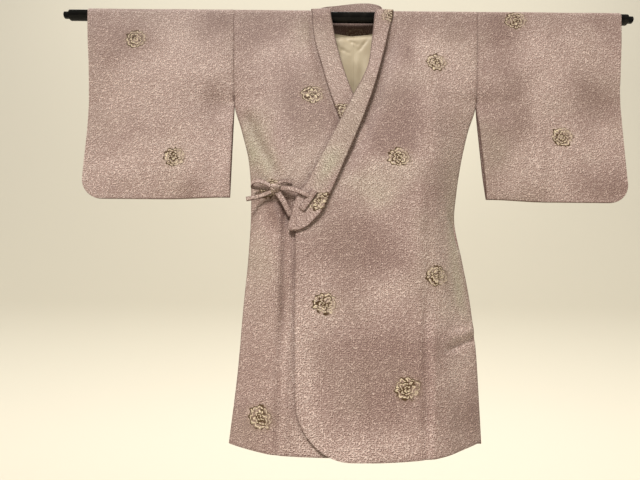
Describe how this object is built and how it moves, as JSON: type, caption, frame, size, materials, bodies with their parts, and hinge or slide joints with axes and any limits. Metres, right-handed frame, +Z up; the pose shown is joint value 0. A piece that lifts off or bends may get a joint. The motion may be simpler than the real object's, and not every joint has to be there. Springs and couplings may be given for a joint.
{
  "type": "kimono coat on a hanging rail",
  "caption": "Women's kimono coat with crossed fronts, a wide collar and a side bow, hanging with its sleeves spread on a round rail.",
  "frame": {"origin": "middle of the rail's axis, where the rail is held", "axes": "+X to the right of someone facing the coat's front, which is the wearer's left; -Y towards them; +Z up"},
  "size_m": [1.396, 0.1403, 1.0641],
  "materials": {
    "silk": "matt mauve-pink patterned silk with a soft sheen",
    "lining": "plain cream silk",
    "rail_lacquer": "glossy black lacquer"
  },
  "bodies": {
    "root": {"rail": "rail_lacquer", "body_left": "silk", "body_right": "silk", "overlap_left": "silk", "overlap_right": "silk", "sleeve_left": "silk", "sleeve_right": "silk", "collar": "silk", "lining_left": "lining", "lining_right": "lining", "tie_tab": "silk", "tie_upper": "silk", "tie_lower": "silk", "tie_knot": "silk", "tie_loop": "silk", "tie_tail": "silk", "tie_stub": "silk"}
  },
  "joints": []
}
